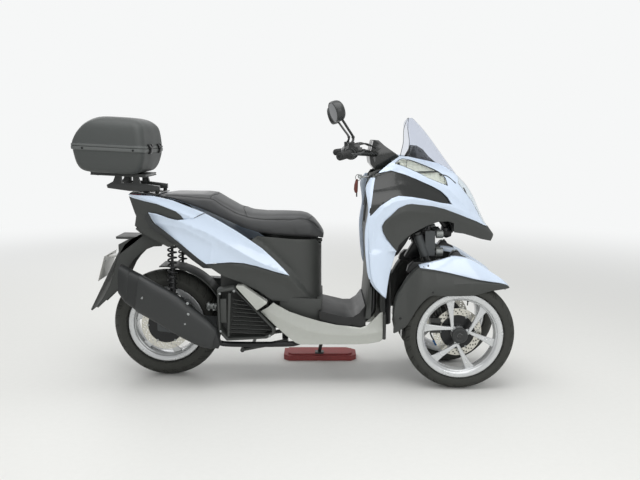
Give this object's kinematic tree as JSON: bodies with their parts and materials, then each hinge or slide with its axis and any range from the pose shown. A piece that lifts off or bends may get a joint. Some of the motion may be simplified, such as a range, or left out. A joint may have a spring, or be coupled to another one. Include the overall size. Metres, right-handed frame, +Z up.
{
  "type": "three-wheel motor scooter",
  "caption": "Leaning-front motor scooter on its side stand over a low block, with a hinged seat and top box, and front wheels that steer and tilt together.",
  "frame": {"origin": "on the ground under the middle of the outline", "axes": "+X forwards, +Y to the rider's left, +Z up"},
  "size_m": [1.9996, 0.7528, 1.2826],
  "materials": {
    "pale_blue_paint": "glossy pale blue paint on moulded panels",
    "silver_paint": "satin silver paint on moulded panels",
    "dark_plastic": "textured black moulding",
    "clear_lens": "clear lens",
    "screen": "lightly smoked clear sheet",
    "red_lens": "red lens",
    "frame_black": "satin black enamel",
    "cast_alloy": "sand-cast",
    "grey_alloy": "painted casting",
    "tyre": "tyre rubber",
    "disc_steel": "ground steel",
    "steel": "machined steel",
    "seat_cover": "grained vinyl over foam",
    "silencer_black": "matt heat-proof black",
    "box_grey": "grained dark grey moulding",
    "red_steel": "faded red paint on steel",
    "plate_white": "blank white plate",
    "rubber": "moulded grip rubber",
    "mirror_black": "black housing"
  },
  "bodies": {
    "chassis": {"frame": "frame_black", "engine": "grey_alloy", "drive_case": "grey_alloy", "rear_arm": "grey_alloy", "radiator_cover": "dark_plastic", "exhaust": "silencer_black", "rear_shocks": "steel", "rear_mudguard": "dark_plastic", "number_plate": "plate_white", "storage_bin": "dark_plastic", "seat_base_cover": "dark_plastic", "side_panels": "pale_blue_paint", "grab_rails": "pale_blue_paint", "tail_cover": "dark_plastic", "tail_lamp": "red_lens", "floorboard": "dark_plastic", "floor_skirts": "silver_paint", "front_cowl": "pale_blue_paint", "cowl_side_panels": "dark_plastic", "front_undercowl": "dark_plastic", "headlamp": "clear_lens", "position_lamps": "clear_lens", "leg_shield": "pale_blue_paint", "windscreen": "screen", "instrument_panel": "dark_plastic", "inner_leg_shield": "dark_plastic", "lower_front_cover": "dark_plastic", "luggage_carrier": "frame_black", "top_box_base": "box_grey", "stand_block": "red_steel"},
    "seat": {"seat": "seat_cover"},
    "top_box_lid": {"top_box_lid": "box_grey"},
    "steering": {"handlebar": "frame_black", "handlebar_cover": "dark_plastic", "grips": "rubber", "brake_levers": "grey_alloy", "mirrors": "mirror_black"},
    "rod_swivel": {"rod_swivel": "steel"},
    "track_rod": {"track_rod": "steel"},
    "upper_arm": {"upper_arm": "cast_alloy"},
    "lower_arm": {"lower_arm": "cast_alloy"},
    "rear_wheel": {"rear_tyre": "tyre", "rear_rim": "cast_alloy", "rear_disc": "disc_steel"},
    "side_stand": {"side_stand": "frame_black"},
    "centre_stand": {"centre_stand": "frame_black"},
    "side_link_left": {"side_link_left": "grey_alloy"},
    "fork_left": {"fork_left": "frame_black", "front_fender_left": "pale_blue_paint"},
    "front_wheel_left": {"front_tyre_left": "tyre", "front_rim_left": "cast_alloy", "front_disc_left": "disc_steel"},
    "side_link_right": {"side_link_right": "grey_alloy"},
    "fork_right": {"fork_right": "frame_black", "front_fender_right": "pale_blue_paint"},
    "front_wheel_right": {"front_tyre_right": "tyre", "front_rim_right": "cast_alloy", "front_disc_right": "disc_steel"}
  },
  "joints": [
    {"name": "steering", "type": "hinge", "parent": "chassis", "child": "steering", "pos_m": [0.56322, 0, 0.7], "axis": [-0.342, 0, 0.9397], "range_deg": [-30, 30]},
    {"name": "rod_swivel", "type": "hinge", "parent": "steering", "child": "rod_swivel", "pos_m": [0.68148, 0, 0.55052], "axis": [-0.342, 0, 0.9397], "range_deg": [-30, 30]},
    {"name": "track_rod_tilt", "type": "hinge", "parent": "rod_swivel", "child": "track_rod", "pos_m": [0.69208, 0, 0.52139], "axis": [1, 0, 0], "range_deg": [-35, 35]},
    {"name": "lean", "type": "hinge", "parent": "chassis", "child": "upper_arm", "pos_m": [0.665, 0, 0.695], "axis": [1, 0, 0], "range_deg": [-35, 35]},
    {"name": "lower_arm_pivot", "type": "hinge", "parent": "chassis", "child": "lower_arm", "pos_m": [0.665, 0, 0.612], "axis": [1, 0, 0], "range_deg": [-35, 35]},
    {"name": "side_link_left_pivot", "type": "hinge", "parent": "upper_arm", "child": "side_link_left", "pos_m": [0.665, 0.116, 0.695], "axis": [1, 0, 0], "range_deg": [-35, 35]},
    {"name": "side_link_right_pivot", "type": "hinge", "parent": "upper_arm", "child": "side_link_right", "pos_m": [0.665, -0.116, 0.695], "axis": [1, 0, 0], "range_deg": [-35, 35]},
    {"name": "fork_left_turn", "type": "hinge", "parent": "side_link_left", "child": "fork_left", "pos_m": [0.58506, 0.116, 0.64], "axis": [-0.342, 0, 0.9397], "range_deg": [-30, 30]},
    {"name": "fork_right_turn", "type": "hinge", "parent": "side_link_right", "child": "fork_right", "pos_m": [0.58506, -0.116, 0.64], "axis": [-0.342, 0, 0.9397], "range_deg": [-30, 30]},
    {"name": "front_wheel_left_spin", "type": "hinge", "parent": "fork_left", "child": "front_wheel_left", "pos_m": [0.75, 0.1925, 0.2498], "axis": [0, 1, 0], "continuous": true},
    {"name": "front_wheel_right_spin", "type": "hinge", "parent": "fork_right", "child": "front_wheel_right", "pos_m": [0.75, -0.1925, 0.2498], "axis": [0, 1, 0], "continuous": true},
    {"name": "rear_wheel_spin", "type": "hinge", "parent": "chassis", "child": "rear_wheel", "pos_m": [-0.6, 0, 0.2561], "axis": [0, 1, 0], "continuous": true},
    {"name": "seat_hinge", "type": "hinge", "parent": "chassis", "child": "seat", "pos_m": [0.13, 0, 0.652], "axis": [0, 1, 0], "range_deg": [0, 52]},
    {"name": "top_box_hinge", "type": "hinge", "parent": "chassis", "child": "top_box_lid", "pos_m": [-0.63464, 0, 1.08473], "axis": [0, 1, 0], "range_deg": [0, 75]},
    {"name": "side_stand_pivot", "type": "hinge", "parent": "chassis", "child": "side_stand", "pos_m": [0.144, 0.15, 0.172], "axis": [0, 1, 0], "range_deg": [0, 75]},
    {"name": "centre_stand_pivot", "type": "hinge", "parent": "chassis", "child": "centre_stand", "pos_m": [-0.04, 0, 0.186], "axis": [0, -1, 0], "range_deg": [0, 95]}
  ],
  "couplings": [
    {"joint": "rod_swivel", "follows": "steering", "ratio": -1},
    {"joint": "fork_left_turn", "follows": "steering", "ratio": 1},
    {"joint": "fork_right_turn", "follows": "steering", "ratio": 1},
    {"joint": "track_rod_tilt", "follows": "lean", "ratio": 1},
    {"joint": "lower_arm_pivot", "follows": "lean", "ratio": 1},
    {"joint": "side_link_left_pivot", "follows": "lean", "ratio": -1},
    {"joint": "side_link_right_pivot", "follows": "lean", "ratio": -1}
  ]
}
